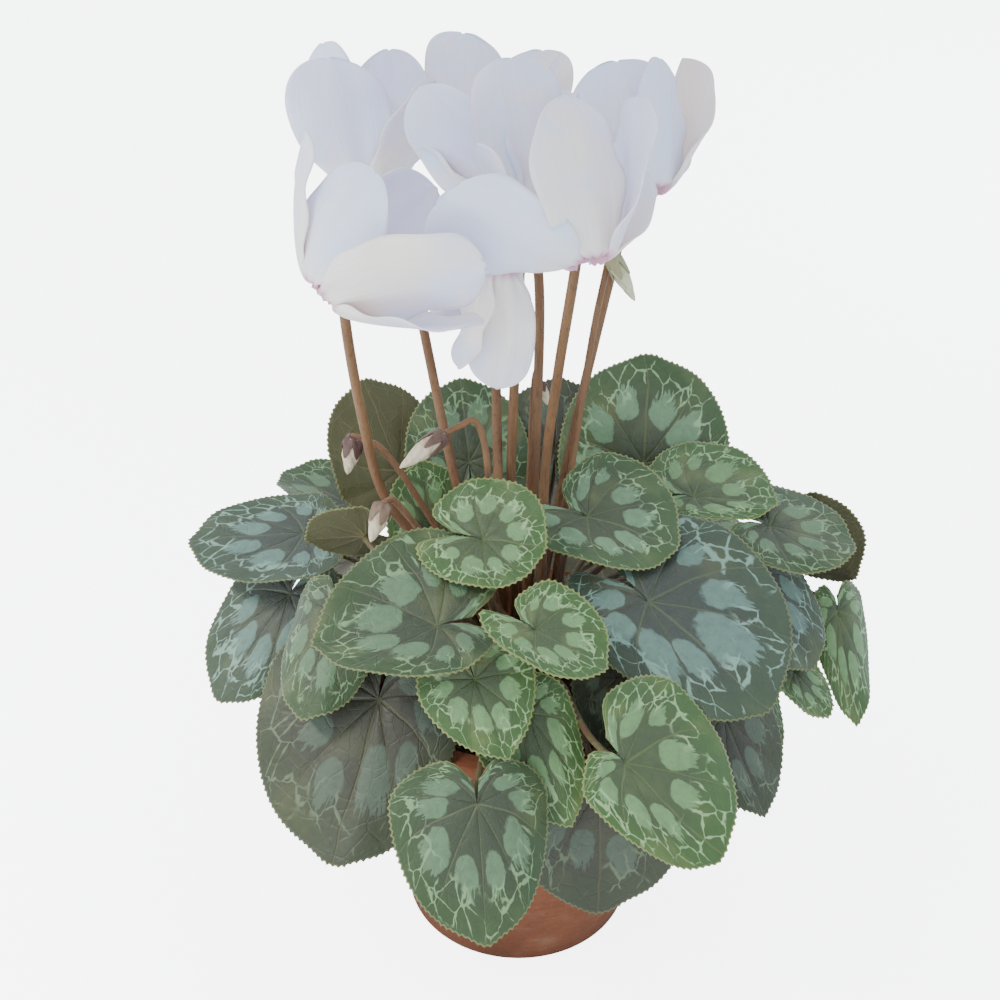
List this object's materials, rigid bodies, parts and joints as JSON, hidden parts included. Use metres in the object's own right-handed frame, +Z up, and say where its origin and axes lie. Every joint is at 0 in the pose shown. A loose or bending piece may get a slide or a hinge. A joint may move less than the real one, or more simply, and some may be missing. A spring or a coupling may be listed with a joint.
{
  "type": "potted cyclamen",
  "caption": "Flowering houseplant in a round clay pot: heart-shaped leaves and nodding white flowers with swept-back petals grow from a tuber.",
  "frame": {"origin": "centre of the whole plant's spread, on the plane that the pot stands on", "axes": "+Z up; -Y is the front, where the leaves hang lowest over the pot; +X is the right seen from the front"},
  "size_m": [0.323, 0.2924, 0.4118],
  "materials": {
    "clay": "matte unglazed terracotta",
    "soil": "crumbly dark compost",
    "tuber": "rough corky bark",
    "leaf": "satin green with silver blotches",
    "stalk": "satin brown",
    "petal": "soft matte white"
  },
  "bodies": {
    "root": {"pot": "clay", "soil": "soil", "tuber": "tuber", "leaf_01": "leaf", "leaf_02": "leaf", "leaf_03": "leaf", "leaf_04": "leaf", "leaf_05": "leaf", "leaf_06": "leaf", "leaf_07": "leaf", "leaf_08": "leaf", "leaf_09": "leaf", "leaf_10": "leaf", "leaf_11": "leaf", "leaf_12": "leaf", "leaf_13": "leaf", "leaf_14": "leaf", "leaf_15": "leaf", "leaf_16": "leaf", "leaf_17": "leaf", "leaf_18": "leaf", "leaf_19": "leaf", "leaf_20": "leaf", "leaf_21": "leaf", "leaf_22": "leaf", "leaf_23": "leaf", "leaf_24": "leaf", "leaf_25": "leaf", "leaf_26": "leaf", "leaf_27": "leaf", "leaf_28": "leaf", "leaf_29": "leaf", "leaf_30": "leaf", "leaf_31": "leaf", "leaf_32": "leaf", "leaf_33": "leaf", "leaf_34": "leaf", "leaf_35": "leaf", "leaf_36": "leaf", "leaf_37": "leaf", "flower_1": "petal", "flower_2": "petal", "flower_3": "petal", "flower_4": "petal", "flower_5": "petal", "flower_6": "petal", "flower_7": "petal", "stalk_1": "stalk", "stalk_2": "stalk", "stalk_3": "stalk", "stalk_4": "stalk", "stalk_5": "stalk", "stalk_6": "stalk", "stalk_7": "stalk", "bud_1": "stalk", "bud_2": "stalk", "bud_3": "stalk", "bud_4": "stalk", "bud_5": "stalk"}
  },
  "joints": []
}
